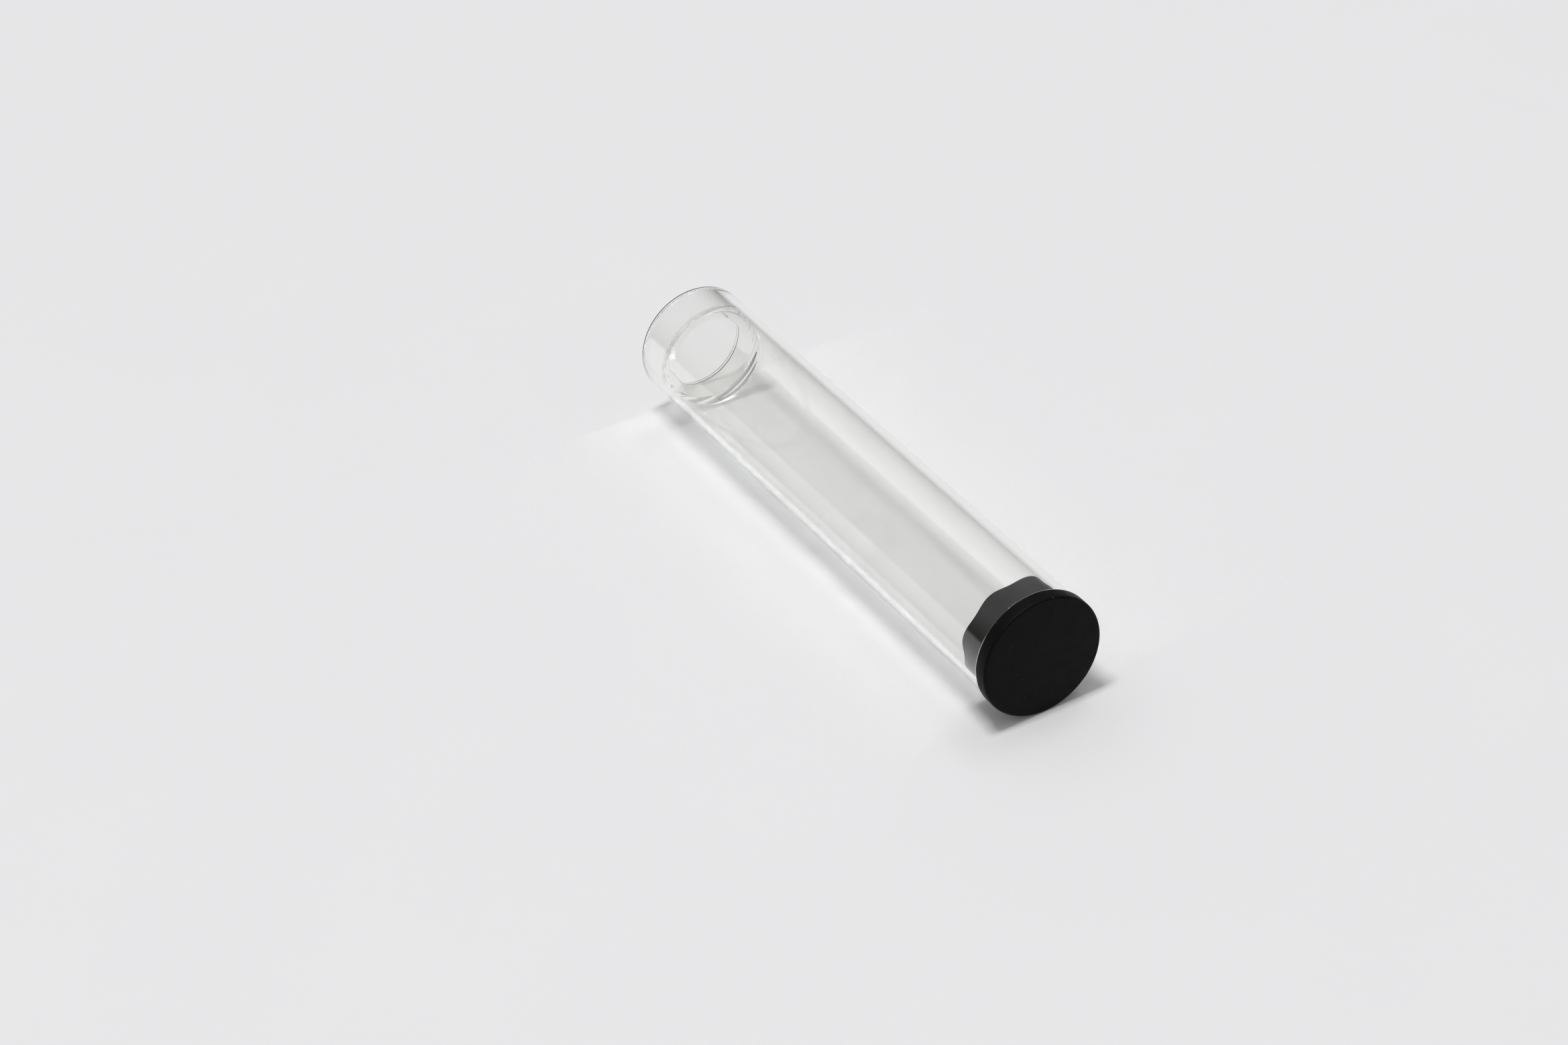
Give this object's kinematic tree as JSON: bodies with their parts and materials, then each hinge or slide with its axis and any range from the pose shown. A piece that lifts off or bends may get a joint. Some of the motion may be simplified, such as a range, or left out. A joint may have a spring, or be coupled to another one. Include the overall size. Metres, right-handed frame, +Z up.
{
  "type": "test tube",
  "caption": "Clear straight-walled tube, closed at one end by a recessed clear plug, with a black rubber stopper that pulls out of its mouth.",
  "frame": {"origin": "bottom centre of the whole object's box, as it lies on its side", "axes": "+X along the tube's axis towards the stopper, +Z up"},
  "size_m": [0.1064, 0.0206, 0.0206],
  "materials": {
    "clear_plastic": "gloss",
    "black_rubber": "matte"
  },
  "bodies": {
    "tube_body": {"tube": "clear_plastic", "end_plug": "clear_plastic"},
    "stopper_body": {"stopper": "black_rubber"}
  },
  "joints": [
    {"name": "stopper_pull", "type": "slide", "parent": "tube_body", "child": "stopper_body", "axis": [1, 0, 0], "range_m": [0, 0.02]}
  ]
}
